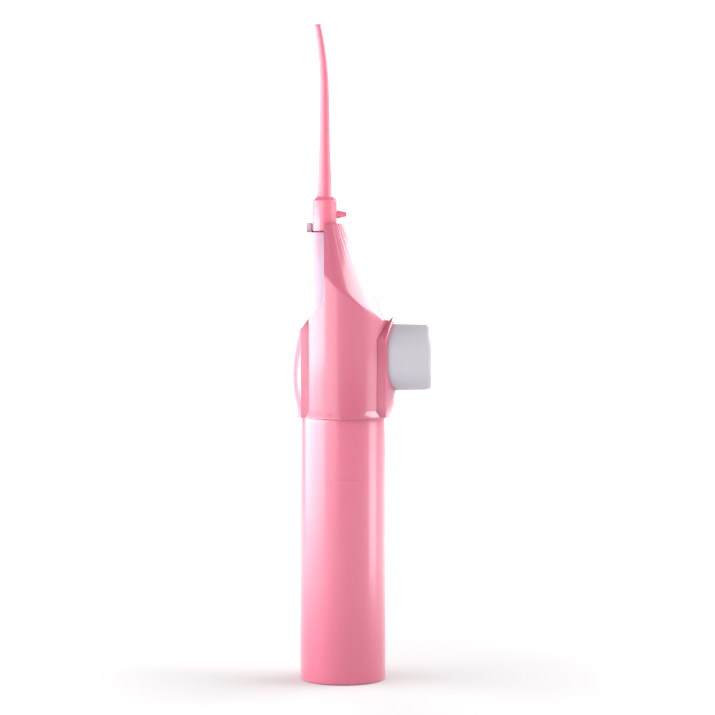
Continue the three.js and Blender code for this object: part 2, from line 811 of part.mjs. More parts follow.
place("tank", tank(), pinkPlastic);
place("tank_gasket", tankGasket(), silicone);
place("chassis", chassis(), pinkPlastic);
place("neck_tube", neck(), palePlastic);
place("front_cover", cover(-1), pinkPlastic);
place("rear_cover", cover(1), pinkPlastic);
place("button", button(), whitePlastic);
place("piston_rod", pistonRod(), naturalPlastic);
place("piston", piston(), naturalPlastic);
place("piston_seal", pistonSeal(), rubber);
place("pump_barrel", pumpBarrel(), naturalPlastic);
place("barrel_cap", barrelCap(), naturalPlastic);
place("return_spring", returnSpring(), steel);
place("inlet_valve_body", inletValveBody(), naturalPlastic);
place("inlet_ball", valveBall(INLET_SEAT), steel);
place("outlet_valve_body", outletValveBody(), naturalPlastic);
place("outlet_ball", valveBall(OUTLET_SEAT), steel);
place("outlet_hose", outletHose(), silicone);
place("hose_spigot", hoseSpigot(), naturalPlastic);
place("swivel_sleeve", swivelSleeve(), naturalPlastic);
place("sleeve_seal", sleeveSeal(), rubber);
place("nozzle", nozzle(), nozzlePlastic);
place("nozzle_seal", nozzleSeal(), rubber);
place("dip_tube", dipTube(), silicone);
place("intake_strainer", intakeStrainer(), naturalPlastic);

export default group;
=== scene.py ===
"""The looks of a hand-pumped water flosser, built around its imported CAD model.

The CAD model stays as the frame. The pieces that show on the outside are rebuilt here as smooth
meshes in millimetres, worked out from the frame's boxes, and the inner pieces get materials.
"""

import math

import bmesh
import bpy
import numpy as np
from mathutils import Matrix, Quaternion, Vector


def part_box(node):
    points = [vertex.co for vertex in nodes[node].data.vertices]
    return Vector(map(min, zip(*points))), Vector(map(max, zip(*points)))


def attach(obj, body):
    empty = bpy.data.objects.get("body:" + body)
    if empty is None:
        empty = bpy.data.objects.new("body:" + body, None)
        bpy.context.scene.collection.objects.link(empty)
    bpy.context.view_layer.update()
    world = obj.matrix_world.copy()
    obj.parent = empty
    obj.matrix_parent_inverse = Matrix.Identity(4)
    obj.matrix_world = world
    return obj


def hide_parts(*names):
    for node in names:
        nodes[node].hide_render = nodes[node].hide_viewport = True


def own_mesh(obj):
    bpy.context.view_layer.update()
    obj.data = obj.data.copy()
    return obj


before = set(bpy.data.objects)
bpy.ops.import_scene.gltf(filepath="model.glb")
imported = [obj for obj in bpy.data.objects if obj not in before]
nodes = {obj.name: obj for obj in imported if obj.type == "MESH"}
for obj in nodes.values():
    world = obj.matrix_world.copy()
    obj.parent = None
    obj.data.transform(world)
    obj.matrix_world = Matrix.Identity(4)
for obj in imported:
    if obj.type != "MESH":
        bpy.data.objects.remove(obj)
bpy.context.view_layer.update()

MM = 0.001


def box_mm(node):
    """A CAD node's lowest and highest corners in millimetres."""
    low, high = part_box(node)
    return low / MM, high / MM


# ---- Places from the frame, in millimetres ----

_, tank_high = box_mm("tank")
cover_low, cover_high = box_mm("front_cover")
button_low, button_high = box_mm("button")
nozzle_low, nozzle_high = box_mm("nozzle")
sleeve_low, sleeve_high = box_mm("swivel_sleeve")
neck_low, neck_high = box_mm("neck_tube")
_, chassis_high = box_mm("chassis")

TANK_RADIUS = tank_high.x
TANK_NECK_TOP = tank_high.z
SEAM_Z = cover_low.z
TANK_HEIGHT = SEAM_Z - 0.12  # leaves the seam as a fine line
COVER_TOP = cover_high.z
COVER_FLARE_RADIUS = -cover_low.y
NOZZLE_X = (sleeve_low.x + sleeve_high.x) / 2
NOZZLE_TIP = nozzle_high.z
STEM_BOTTOM = nozzle_low.z
BUTTON_ROOT_X = button_low.x
BUTTON_FACE_X = button_high.x
BUTTON_RADIUS = button_high.y
PUMP_Z = (button_low.z + button_high.z) / 2
BUTTON_STRAIGHT = (button_high.z - button_low.z) / 2 - BUTTON_RADIUS
NECK_TOP = neck_high.z
NECK_BOTTOM = neck_low.z
NECK_RADIUS = NOZZLE_X - neck_low.x
BAND_TOP = chassis_high.z

# ---- Dimensions that the frame's boxes don't give ----

GAP = 0.3  # clearance between pieces

TANK_WALL = 1.3
TANK_NECK_RADIUS = 14.2
TANK_NECK_BORE = 12.9
THREAD_LEAD = 6.0
THREAD_RIB = 0.9  # the rib's width
THREAD_REACH = 0.8
THREAD_SPAN = 2 * math.pi / 3  # how far round each of the two ribs runs
FILL_LINE = 82.7  # height of the low rib on the tank's front
FILL_LINE_ANGLE = -math.pi / 2 + 0.18
FILL_LINE_SPAN = 0.4
FILL_LINE_REACH = 0.11
FILL_LINE_BELOW = 0.5  # width of the rib's gentle flank
FILL_LINE_ABOVE = 0.14  # width of its steep flank

COVER_RADIUS = 18.2
COVER_WALL = 1.1
COVER_FLARE_TOP = 110.2
CONE_TOP_RADIUS = 7.5
CONE_SLOPE = 0.455
CREASE = 0.22  # softness of the crease where the covers' cone meets their cylinder
NOTCH_HALF_WIDTH = 0.16
NOTCH_TOP = 109.9

BAND_HALF_WIDTH = 11.7
BAND_WALL = 0.8
ARCH_Z = 132.5
ARCH_RADIUS = 13.0
ARCH_LIP_X = 17.4
SPINE_EDGE_X = 16.75
BOSS_EDGE_X = 17.2
SOCKET_BORE = 15.4
SOCKET_RADIUS = 16.8
SOCKET_ROOF_TOP = 116.2
SOCKET_ROOF = 1.6
PORT_X = -10.3
PORT_RADIUS = 2.2
AIR_HOLE_X = 9
AIR_HOLE_RADIUS = 0.7

NECK_INNER_RADIUS = 6.1
NECK_BORE = 5.3
NECK_SEAT = 181.6
NECK_GAP = 0.08  # between the neck and the covers' left edges

BUTTON_HOLE_ROOM = 0.35  # clearance round the button in its hole
SPRING_WIRE = 0.45
SPRING_TURNS = 7

COLLAR_RADIUS = 5.0
COLLAR_BOTTOM = 181.9
COLLAR_TOP = 194.4
STEM_RADIUS = 2.75
SEAL_HEIGHT = 173.0
PEG_Z = 188.7
BEND_START = 236
BEND_REACH = 2.7

FINE = 192  # sides of the large turned forms
MEDIUM = 96  # sides of the small turned forms


# ---- Camera ----

CAMERA_DISTANCE = 1150
CAMERA_HEIGHT = 205
CAMERA_X = 5.9
AIM_HEIGHT = 130.9
VIEW_HEIGHT = 289.1  # millimetres across the picture at the object


def make_camera():
    data = bpy.data.cameras.new("camera")
    camera = bpy.data.objects.new("camera", data)
    bpy.context.scene.collection.objects.link(camera)
    place = Vector((CAMERA_X, -CAMERA_DISTANCE, CAMERA_HEIGHT)) * MM
    aim = Vector((CAMERA_X, 0, AIM_HEIGHT)) * MM
    camera.location = place
    camera.rotation_mode = "QUATERNION"
    camera.rotation_quaternion = (aim - place).to_track_quat("-Z", "Y")
    data.sensor_width = 36
    data.lens = data.sensor_width * (aim - place).length / (VIEW_HEIGHT * MM)
    data.clip_start = 0.05
    data.clip_end = 20
    bpy.context.scene.camera = camera


# ---- Mesh helpers, all in millimetres ----


def mesh_object(name, points, faces):
    """An object from points in millimetres, with its faces turned outwards."""
    mesh = bpy.data.meshes.new(name)
    mesh.from_pydata([tuple(c * MM for c in p) for p in points], [], faces)
    made = bmesh.new()
    made.from_mesh(mesh)
    bmesh.ops.remove_doubles(made, verts=made.verts, dist=1e-7)
    bmesh.ops.recalc_face_normals(made, faces=made.faces)
    made.to_mesh(mesh)
    made.free()
    obj = bpy.data.objects.new(name, mesh)
    bpy.context.scene.collection.objects.link(obj)
    return obj


def rounded(corners, steps=5):
    """A polyline through [x, y, radius] corners, each rounded by an arc of its radius."""
    points = []
    last = len(corners) - 1
    for i, corner in enumerate(corners):
        x, y = corner[0], corner[1]
        radius = corner[2] if len(corner) > 2 else 0
        if radius == 0 or i in (0, last):
            points.append((x, y))
            continue
        here = Vector((x, y))
        back = Vector(corners[i - 1][:2]) - here
        ahead = Vector(corners[i + 1][:2]) - here
        half = back.angle(ahead) / 2
        reach = radius / math.tan(half)
        start, end = here + back.normalized() * reach, here + ahead.normalized() * reach
        inwards = (back.normalized() + ahead.normalized()).normalized()
        centre = here + inwards * (radius / math.sin(half))
        from_centre, to_centre = start - centre, end - centre
        turn = from_centre.angle_signed(to_centre)
        for k in range(steps + 1):
            spoke = from_centre.copy()
            spoke.rotate(Matrix.Rotation(-turn * k / steps, 2))
            points.append(tuple(centre + spoke))
    return points


def turned(name, profile, sides=FINE, x=0.0, closed=False, reshape=None):
    """A form turned about the vertical line through x, from (radius, height) points.

    reshape(angle, radius, height) gives a new radius where the form isn't quite round.
    """
    points, faces = [], []
    for radius, height in profile:
        for k in range(sides):
            angle = 2 * math.pi * k / sides
            r = reshape(angle, radius, height) if reshape else radius
            points.append((x + r * math.cos(angle), r * math.sin(angle), height))
    rows = len(profile)
    for i in range(rows if closed else rows - 1):
        j = (i + 1) % rows
        for k in range(sides):
            n = (k + 1) % sides
            faces.append((i * sides + k, i * sides + n, j * sides + n, j * sides + k))
    return mesh_object(name, points, faces)


def lofted(name, rings):
    """A form through rings of equally many points, with both ends closed."""
    count = len(rings[0])
    points = [p for ring in rings for p in ring]
    faces = []
    for i in range(len(rings) - 1):
        for k in range(count):
            n = (k + 1) % count
            faces.append((i * count + k, i * count + n, (i + 1) * count + n, (i + 1) * count + k))
    faces.append(tuple(range(count)))
    faces.append(tuple(range(len(points) - count, len(points))))
    return mesh_object(name, points, faces)


def prism_y(name, outline, y0, y1):
    """An outline in X and Z carried along Y."""
    return lofted(name, [[(x, y, z) for x, z in outline] for y in (y0, y1)])


def block(name, x0, x1, y0, y1, z0, z1):
    return prism_y(name, [(x0, z0), (x1, z0), (x1, z1), (x0, z1)], y0, y1)


def combine(target, tool, operation):
    """The target joined, cut or trimmed by the tool, which is used up."""
    step = target.modifiers.new("combine", "BOOLEAN")
    step.operation = operation
    step.object = tool
    step.solver = "MANIFOLD"
    apply_modifiers(target)
    bpy.data.objects.remove(tool)
    return target


def apply_modifiers(obj):
    graph = bpy.context.evaluated_depsgraph_get()
    mesh = bpy.data.meshes.new_from_object(obj.evaluated_get(graph))
    obj.modifiers.clear()
    obj.data = mesh


def cut(target, *tools):
    for tool in tools:
        combine(target, tool, "DIFFERENCE")
    return target


def join(target, *tools):
    for tool in tools:
        combine(target, tool, "UNION")
    return target


def common(target, *tools):
    for tool in tools:
        combine(target, tool, "INTERSECT")
    return target


def shade_by_angle(obj, degrees=38):
    """Smooth shading that keeps the edges sharper than the angle."""
    for polygon in obj.data.polygons:
        polygon.use_smooth = True
    obj.data.set_sharp_from_angle(angle=math.radians(degrees))


def smooth_edges(obj, width, angle, segments):
    """Rounds the edges sharper than the angle, and shades the rest smooth."""
    made = bmesh.new()
    made.from_mesh(obj.data)
    bmesh.ops.remove_doubles(made, verts=made.verts, dist=2e-6)
    bmesh.ops.dissolve_degenerate(made, edges=made.edges, dist=2e-6)
    flat = math.radians(0.4)
    bmesh.ops.dissolve_limit(made, angle_limit=flat, verts=made.verts, edges=made.edges)
    made.to_mesh(obj.data)
    made.free()
    for polygon in obj.data.polygons:
        polygon.use_smooth = True
    bevel = obj.modifiers.new("rounded_edges", "BEVEL")
    bevel.width = width * MM
    bevel.segments = segments
    bevel.limit_method = "ANGLE"
    bevel.angle_limit = math.radians(angle)
    bevel.use_clamp_overlap = True
    bevel.harden_normals = True
    bevel.miter_outer = "MITER_ARC"
    apply_modifiers(obj)
    shade_by_angle(obj, 40)


def finish_piece(obj, body, material, replaced=()):
    """Gives a new piece its material and its body, and hides the CAD nodes that it stands for."""
    obj.data.materials.clear()
    obj.data.materials.append(material)
    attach(obj, body)
    if replaced:
        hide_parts(*replaced)


# ---- Materials ----


class Nodes:
    """A short way to write a node material."""

    def __init__(self, name):
        self.material = bpy.data.materials.new(name)
        self.material.use_nodes = True
        self.tree = self.material.node_tree
        self.shader = self.tree.nodes["Principled BSDF"]
        self.place = self.add("ShaderNodeTexCoord").outputs["Object"]

    def add(self, kind, **values):
        node = self.tree.nodes.new(kind)
        for key, value in values.items():
            if key in node.inputs:
                node.inputs[key].default_value = value
            else:
                setattr(node, key, value)
        return node

    def link(self, source, target):
        self.tree.links.new(source, target)

    def noise(self, scale, detail=2.0, roughness=0.5, stretch=(1, 1, 1)):
        mapping = self.add("ShaderNodeMapping")
        mapping.inputs["Scale"].default_value = stretch
        self.link(self.place, mapping.inputs["Vector"])
        noise = self.add("ShaderNodeTexNoise", Scale=scale, Detail=detail, Roughness=roughness)
        self.link(mapping.outputs["Vector"], noise.inputs["Vector"])
        return noise.outputs["Fac"]

    def ramp(self, value, low, high):
        """The value spread from low to high, for roughness and heights."""
        spread = self.add("ShaderNodeMapRange")
        spread.inputs["To Min"].default_value = low
        spread.inputs["To Max"].default_value = high
        self.link(value, spread.inputs["Value"])
        return spread.outputs["Result"]

    def blend(self, value, first, second):
        mixer = self.add("ShaderNodeMix", data_type="RGBA")
        mixer.inputs[6].default_value = (*first, 1)
        mixer.inputs[7].default_value = (*second, 1)
        self.link(value, mixer.inputs[0])
        return mixer.outputs[2]

    def bump(self, heights):
        """Bumps from (value, strength, distance in millimetres) layers."""
        normal = None
        for value, strength, distance in heights:
            bump = self.add("ShaderNodeBump", Strength=strength, Distance=distance * MM)
            self.link(value, bump.inputs["Height"])
            if normal:
                self.link(normal, bump.inputs["Normal"])
            normal = bump.outputs["Normal"]
        self.link(normal, self.shader.inputs["Normal"])

    def set(self, **values):
        for key, value in values.items():
            self.shader.inputs[key.replace("_", " ")].default_value = value


def pink_plastic(name, light, deep, subsurface):
    """Glossy pigmented plastic: faint flow marks, a slight orange peel and fine handling marks."""
    made = Nodes(name)
    flow = made.noise(30, 2, 0.45, (1, 1, 0.3))
    made.link(made.blend(flow, deep, light), made.shader.inputs["Base Color"])
    haze = made.noise(700, 3, 0.6)
    made.link(made.ramp(haze, 0.30, 0.38), made.shader.inputs["Roughness"])
    peel = made.noise(420, 2, 0.5)
    marks = made.noise(2600, 3, 0.6, (1, 1, 0.08))
    made.bump([(peel, 0.06, 0.03), (marks, 0.05, 0.01)])
    made.set(IOR=1.55, Subsurface_Weight=subsurface, Subsurface_Scale=0.0015)
    made.shader.inputs["Subsurface Radius"].default_value = (1.0, 0.45, 0.5)
    made.set(Coat_Weight=0.8, Coat_Roughness=0.16)
    return made.material


def satin_plastic(name, light, deep, rough, grain, reflection_tint=None):
    """Satin plastic with its mould's fine grain. If a tint is given, a painted reflection of the
    nozzle's collar is laid on it as a streak.
    """
    made = Nodes(name)
    colour = made.blend(made.noise(60, 3, 0.5), deep, light)
    # Paints a reflection of the nozzle's collar when a tint is given.
    if reflection_tint:
        colour = painted_collar_reflection(made, colour, reflection_tint)
    made.link(colour, made.shader.inputs["Base Color"])
    haze = made.noise(220, 3, 0.6)
    made.link(made.ramp(haze, rough - 0.06, rough + 0.06), made.shader.inputs["Roughness"])
    coarse = made.noise(2200, 2, 0.5)
    fine = made.noise(5200, 2, 0.5)
    made.bump([(coarse, grain, 0.03), (fine, grain * 0.6, 0.02)])
    made.set(IOR=1.49, Subsurface_Weight=0.06, Subsurface_Scale=0.001)
    return made.material


# Place and size of the painted reflection of the nozzle's collar on the neck's front.
REFLECTION_STREAK_X = NOZZLE_X - 2.1
REFLECTION_STREAK_FOOT = 163.0
REFLECTION_STREAK_FADE = (160.0, 176.0)  # heights between which the streak fades in
REFLECTION_STREAK_HALF_WIDTHS = (0.3, 1.9)  # at its foot and at the neck's seat


def painted_collar_reflection(made, colour, reflection_tint):
    """A painted reflection of the nozzle's collar on the front of the pale neck: a pink streak that
    tapers downwards.
    """
    place = made.add("ShaderNodeSeparateXYZ")
    made.link(made.place, place.inputs[0])

    def spread(value, low, high, to_low, to_high):
        step = made.add("ShaderNodeMapRange", interpolation_type="SMOOTHSTEP")
        names = ("From Min", "From Max", "To Min", "To Max")
        for name, number in zip(names, (low, high, to_low, to_high)):
            step.inputs[name].default_value = number
        made.link(value, step.inputs["Value"])
        return step.outputs["Result"]

    def math_step(operation, first, second=None):
        step = made.add("ShaderNodeMath", operation=operation)
        for source, target in ((first, step.inputs[0]), (second, step.inputs[1])):
            if isinstance(source, float):
                target.default_value = source
            elif source:
                made.link(source, target)
        return step.outputs[0]

    off = math_step("ABSOLUTE", math_step("SUBTRACT", place.outputs["X"], REFLECTION_STREAK_X * MM))
    narrow, wide = [half_width * MM for half_width in REFLECTION_STREAK_HALF_WIDTHS]
    width = spread(place.outputs["Z"], REFLECTION_STREAK_FOOT * MM, NECK_SEAT * MM, narrow, wide)
    across = spread(math_step("DIVIDE", off, width), 0.2, 1.0, 1.0, 0.0)
    fade_low, fade_high = [height * MM for height in REFLECTION_STREAK_FADE]
    lengthwise = spread(place.outputs["Z"], fade_low, fade_high, 0.0, 0.5)
    front = math_step("LESS_THAN", place.outputs["Y"], 0.0)
    share = math_step("MULTIPLY", math_step("MULTIPLY", across, lengthwise), front)
    mixer = made.add("ShaderNodeMix", data_type="RGBA")
    made.link(share, mixer.inputs[0])
    made.link(colour, mixer.inputs[6])
    mixer.inputs[7].default_value = (*reflection_tint, 1)
    return mixer.outputs[2]


def milky_silicone(name, light, deep):
    """Cloudy, slightly translucent silicone."""
    made = Nodes(name)
    cloud = made.noise(120, 3, 0.5)
    made.link(made.blend(cloud, deep, light), made.shader.inputs["Base Color"])
    made.link(made.ramp(cloud, 0.4, 0.55), made.shader.inputs["Roughness"])
    made.bump([(made.noise(1500, 2), 0.1, 0.03)])
    made.set(IOR=1.41, Subsurface_Weight=0.3, Subsurface_Scale=0.002)
    return made.material


def matt_rubber(name):
    """Black rubber with a faint bloom."""
    made = Nodes(name)
    bloom = made.noise(300, 3, 0.6)
    colour = made.blend(bloom, (0.012, 0.012, 0.014), (0.03, 0.03, 0.033))
    made.link(colour, made.shader.inputs["Base Color"])
    made.link(made.ramp(bloom, 0.55, 0.75), made.shader.inputs["Roughness"])
    made.bump([(made.noise(2500, 2), 0.2, 0.03)])
    return made.material


def drawn_steel(name):
    """Steel with fine drawing lines."""
    made = Nodes(name)
    lines = made.noise(1800, 3, 0.6, (0.1, 1, 1))
    colour = made.blend(lines, (0.42, 0.43, 0.45), (0.62, 0.63, 0.65))
    made.link(colour, made.shader.inputs["Base Color"])
    made.link(made.ramp(lines, 0.3, 0.42), made.shader.inputs["Roughness"])
    made.bump([(lines, 0.15, 0.02)])
    made.set(Metallic=1.0)
    return made.material


housing_pink = pink_plastic("housing_pink", (0.505, 0.110, 0.181), (0.477, 0.097, 0.163), 0.1)
tank_pink = pink_plastic("tank_pink", (0.545, 0.111, 0.188), (0.517, 0.100, 0.171), 0.1)
nozzle_pink = pink_plastic("nozzle_pink", (0.63, 0.125, 0.20), (0.60, 0.112, 0.182), 0.1)
button_white = satin_plastic("button_white", (0.44, 0.425, 0.465), (0.41, 0.395, 0.435), 0.36, 0.12)
# The neck's tint paints a reflection of the nozzle's collar down its front.
neck_pale = satin_plastic(
    "neck_pale", (0.50, 0.40, 0.485), (0.47, 0.375, 0.46), 0.37, 0.05, reflection_tint=(0.62, 0.25, 0.38)
)
natural = satin_plastic("natural", (0.74, 0.74, 0.71), (0.68, 0.68, 0.65), 0.42, 0.08)
silicone = milky_silicone("silicone", (0.72, 0.76, 0.79), (0.62, 0.66, 0.70))
black_rubber = matt_rubber("black_rubber")
steel = drawn_steel("steel")


# ---- Tank ----


def rib_height(angle, height, first_z, reach):
    """How far the two-start thread stands off its wall at a place."""
    best = 0.0
    for start in (0, math.pi):
        local = (angle - start) % (2 * math.pi)
        if local > THREAD_SPAN:
            continue
        centre = first_z + THREAD_LEAD * local / (2 * math.pi)
        off_crest = max(0.0, abs(height - centre) - THREAD_RIB * 0.3)
        across = max(0.0, 1 - off_crest / (THREAD_RIB * 0.2))
        ends = min(1.0, local / 0.12, (THREAD_SPAN - local) / 0.12)
        best = max(best, reach * across * ends)
    return best


def make_tank():
    inner = TANK_RADIUS - TANK_WALL
    thread_start = TANK_HEIGHT + 1.9
    neck_rows = [TANK_HEIGHT + 0.3 + 0.1 * i for i in range(51)]

    def reshape(angle, radius, height):
        if abs(radius - TANK_NECK_RADIUS) < 1e-6 and height > TANK_HEIGHT + 0.25:
            return radius + rib_height(angle, height, thread_start, THREAD_REACH)
        if abs(radius - TANK_RADIUS) < 1e-6 and abs(height - FILL_LINE) < 0.6:
            off = (angle - FILL_LINE_ANGLE + math.pi) % (2 * math.pi) - math.pi
            window = max(0.0, 1 - (abs(off) / FILL_LINE_SPAN) ** 6)
            below = 1 - (FILL_LINE - height) / FILL_LINE_BELOW
            above = 1 - (height - FILL_LINE) / FILL_LINE_ABOVE
            return radius + FILL_LINE_REACH * window * max(0.0, min(below, above))
        return radius

    base = rounded(
        [
            (0, 0.25),
            (1.1, 0.25, 0.1),
            (1.3, 0.0, 0.1),
            (12.6, 0.0, 0.15),
            (12.9, 0.35, 0.15),
            (14.3, 0.35, 0.15),
            (14.6, 0.0, 0.15),
            (TANK_RADIUS, 0.0, 0.8),
            (TANK_RADIUS, 40),
        ],
        8,
    )
    rib_foot, rib_end = FILL_LINE - FILL_LINE_BELOW, FILL_LINE + FILL_LINE_ABOVE
    side_rows = [55, 68, 79, rib_foot - 0.05, rib_foot, FILL_LINE]
    side_rows += [rib_end, rib_end + 0.06, 86, 94, 104]
    side = [(TANK_RADIUS, z) for z in side_rows]
    shoulder = rounded(
        [
            (TANK_RADIUS, 105),
            (TANK_RADIUS, TANK_HEIGHT, 0.3),
            (TANK_NECK_RADIUS, TANK_HEIGHT, 0.25),
            (TANK_NECK_RADIUS, TANK_HEIGHT + 0.3),
        ]
    )
    neck = [(TANK_NECK_RADIUS, z) for z in neck_rows]
    inside = rounded(
        [
            (TANK_NECK_RADIUS, TANK_NECK_TOP - 0.4),
            (TANK_NECK_RADIUS, TANK_NECK_TOP, 0.3),
            (TANK_NECK_BORE, TANK_NECK_TOP, 0.3),
            (TANK_NECK_BORE, TANK_HEIGHT - TANK_WALL, 0.6),
            (inner, TANK_HEIGHT - TANK_WALL - 3.1, 0.8),
            (inner, 1.8, 1.4),
            (0, 1.8),
        ]
    )
    tank = turned("tank_body", base + side + shoulder + neck + inside, 256, reshape=reshape)
    shade_by_angle(tank)
    finish_piece(tank, "tank", tank_pink, ["tank"])


# ---- Covers ----


def cylinder_radius(z, inset):
    """The radius of the covers' round part at a height, with its flared foot."""
    if inset > 0:
        return COVER_RADIUS - inset
    foot, top = SEAM_Z + 0.5, COVER_FLARE_TOP
    share = min(1.0, max(0.0, (z - foot) / (top - foot)))
    return COVER_FLARE_RADIUS + (COVER_RADIUS - COVER_FLARE_RADIUS) * share


def cone_radius(z, inset):
    """The radius of the covers' cone about the nozzle's axis at a height."""
    return CONE_TOP_RADIUS + CONE_SLOPE * (COVER_TOP - z) - inset * math.hypot(1, CONE_SLOPE)


def cover_reach(angle, z, inset):
    """Distance from the nozzle's axis to the cover's wall, where a cone and a cylinder meet."""
    radius = cylinder_radius(z, inset)
    chord = math.sqrt(radius**2 - (NOZZLE_X * math.sin(angle)) ** 2)
    cylinder = -NOZZLE_X * math.cos(angle) + chord
    cone = cone_radius(z, inset)
    nearer = min(cylinder, cone)
    softened = math.exp((nearer - cylinder) / CREASE) + math.exp((nearer - cone) / CREASE)
    return nearer - CREASE * math.log(softened)


def cover_point(angle, z, inset):
    reach = cover_reach(angle, z, inset)
    return NOZZLE_X + reach * math.cos(angle), reach * math.sin(angle), z


def bisect(test, low, high):
    """The value between low and high where the test turns from true to false."""
    for _ in range(40):
        middle = (low + high) / 2
        if test(middle):
            low = middle
        else:
            high = middle
    return low


LEFT_EDGE = NOZZLE_X - 0.2
HOLLOW_TOP = 158.0
HOLLOW_FOOT = (-13.6, 148.2)
HOLLOW_CURVE = [(LEFT_EDGE, HOLLOW_TOP), (LEFT_EDGE, 153.0), (LEFT_EDGE - 2.6, 150.5), HOLLOW_FOOT]


def curve_point(share, corners=HOLLOW_CURVE):
    """A point on the hollow curve at the foot of the covers' left edge."""
    a, b, c, d = [Vector(p) for p in corners]
    rest = 1 - share
    return a * rest**3 + b * 3 * rest**2 * share + c * 3 * rest * share**2 + d * share**3


def left_edge(z):
    """Where the cover's left edge lies at a height above the shoulder."""
    if z >= HOLLOW_TOP:
        return LEFT_EDGE
    return curve_point(bisect(lambda t: curve_point(t).y > z, 0.0, 1.0)).x


def left_angle(z, inset):
    """Where a cover starts, as an angle about the nozzle's axis."""
    if z > HOLLOW_FOOT[1]:
        edge = left_edge(z)
        return bisect(lambda a: cover_point(a, z, inset)[0] < edge, -math.pi + 0.05, -0.3)
    depth = BAND_HALF_WIDTH + GAP
    return math.atan2(-depth, -math.sqrt(cylinder_radius(z, inset) ** 2 - depth**2) - NOZZLE_X)


def right_angle(z, inset):
    """Where a cover ends: at the chassis, round its arch, and above that at the other cover."""
    clear = ARCH_RADIUS + GAP
    if z >= ARCH_Z + clear:
        depth = 0.1
    elif z > ARCH_Z:
        depth = max(0.1, min(BAND_HALF_WIDTH + GAP, math.sqrt(clear**2 - (z - ARCH_Z) ** 2)))
    else:
        depth = BAND_HALF_WIDTH + GAP
    return bisect(lambda a: cover_point(a, z, inset)[1] < -depth, -1.6, -1e-4)


def cover_heights():
    """Heights of the covers' rows, close together where the outline curves."""
    arch_end = ARCH_Z + ARCH_RADIUS + GAP
    flare_rows = [COVER_FLARE_TOP - 0.12, COVER_FLARE_TOP, COVER_FLARE_TOP + 0.12]
    arch_turns = np.linspace(0, math.pi / 2, 34)
    heights = list(np.linspace(SEAM_Z, SEAM_Z + 0.5, 3))
    heights += [SEAM_Z + 0.62, 109.0] + flare_rows
    heights += list(np.linspace(COVER_FLARE_TOP + 0.3, ARCH_Z, 22))
    heights += [ARCH_Z + (arch_end - ARCH_Z) * math.sin(t) for t in arch_turns][1:]
    heights += list(np.linspace(arch_end, HOLLOW_FOOT[1], 6))[1:]
    heights += list(np.linspace(HOLLOW_FOOT[1], HOLLOW_TOP, 20))[1:]
    heights += list(np.linspace(HOLLOW_TOP, COVER_TOP, 40))[1:]
    return heights


def make_cover(name, node, side):
    """A cover as one closed shell: outer and inner walls over the same rows, joined at the rims.

    The side is -1 for the front cover and 1 for the rear one.
    """
    columns = 84
    heights = cover_heights()
    points = []
    for inset in (0.0, COVER_WALL):
        for z in heights:
            start, end = left_angle(z, inset), right_angle(z, inset)
            for k in range(columns + 1):
                x, y, _ = cover_point(start + (end - start) * k / columns, z, inset)
                points.append((x, -side * y, z))
    count = columns + 1
    rows = len(heights)
    skip = rows * count
    faces = []
    for offset in (0, skip):
        for i in range(rows - 1):
            for k in range(columns):
                a = offset + i * count + k
                faces.append((a, a + 1, a + 1 + count, a + count))
    for k in range(columns):
        faces.append((k, k + 1, skip + k + 1, skip + k))
        top = (rows - 1) * count + k
        faces.append((top, top + 1, skip + top + 1, skip + top))
    for i in range(rows - 1):
        for edge in (i * count, i * count + columns):
            faces.append((edge, edge + count, skip + edge + count, skip + edge))
    cover = mesh_object(name, points, faces)
    y0, y1 = sorted((side * (COVER_FLARE_RADIUS - 0.5), side * (COVER_FLARE_RADIUS + 1)))
    cut(cover, block("notch", -NOTCH_HALF_WIDTH, NOTCH_HALF_WIDTH, y0, y1, SEAM_Z - 1, NOTCH_TOP))
    smooth_edges(cover, 0.16, 50, 2)
    finish_piece(cover, "housing", housing_pink, [node])


# ---- Chassis ----


def circle(radius, sides):
    """Points of a circle about the origin."""
    turns = [2 * math.pi * k / sides for k in range(sides)]
    return [(radius * math.cos(turn), radius * math.sin(turn)) for turn in turns]


def turned_solid(name, profile, x=0.0, sides=FINE):
    """A solid turned about the vertical line through x, with flat ends."""
    return lofted(name, [[(x + a, b, z) for a, b in circle(r, sides)] for r, z in profile])


def disc_solid(name, radius, z0, z1, x=0.0, sides=MEDIUM):
    return turned_solid(name, [(radius, z0), (radius, z1)], x, sides)


def along_x_solid(name, profile, z, sides):
    """A solid turned about the line along X at a height, from (radius, x) points."""
    return lofted(name, [[(x, a, z + b) for a, b in circle(r, sides)] for r, x in profile])


def oval_ring(x, radius, straight, lift=0.0):
    """Points of a straight-sided oval about the pump's axis, or lifted above it."""
    half = MEDIUM // 2
    turns = [math.pi * k / half for k in range(half + 1)]
    upper = [(radius * math.cos(turn), straight + radius * math.sin(turn)) for turn in turns]
    lower = [(-y, -z) for y, z in upper]
    return [(x, y, PUMP_Z + lift + z) for y, z in upper + lower]


# How far out the middle of each side of the chassis stands, as (rise above the seam, reach) points
SPINE_BELLY = [(0, 19.3), (3.7, 19.3), (6.2, 19.75), (8.2, 20.2), (11, 20.6), (14, 20.8)]
SPINE_BELLY += [(18, 20.8), (24, 20.4), (29, 19.7), (34.2, 18.8), (41.7, 17.9)]
BUTTON_BELLY = [(0, 19.3), (0.8, 19.45), (1.8, 20.0), (3.0, 20.6), (4.4, 20.95)]
BUTTON_BELLY += [(7.7, 21.2), (12, 21.1), (17, 20.9), (29, 20.55), (41.7, 20.3)]


def arch_ring(x, half_width, radius, bottom):
    """A doorway outline across the button's axis: straight sides under a round top."""
    start = math.acos(min(1.0, half_width / radius))
    ring = [(x, -half_width, bottom), (x, half_width, bottom)]
    for k in range(97):
        angle = start + (math.pi - 2 * start) * k / 96
        ring.append((x, radius * math.cos(angle), ARCH_Z + radius * math.sin(angle)))
    return ring


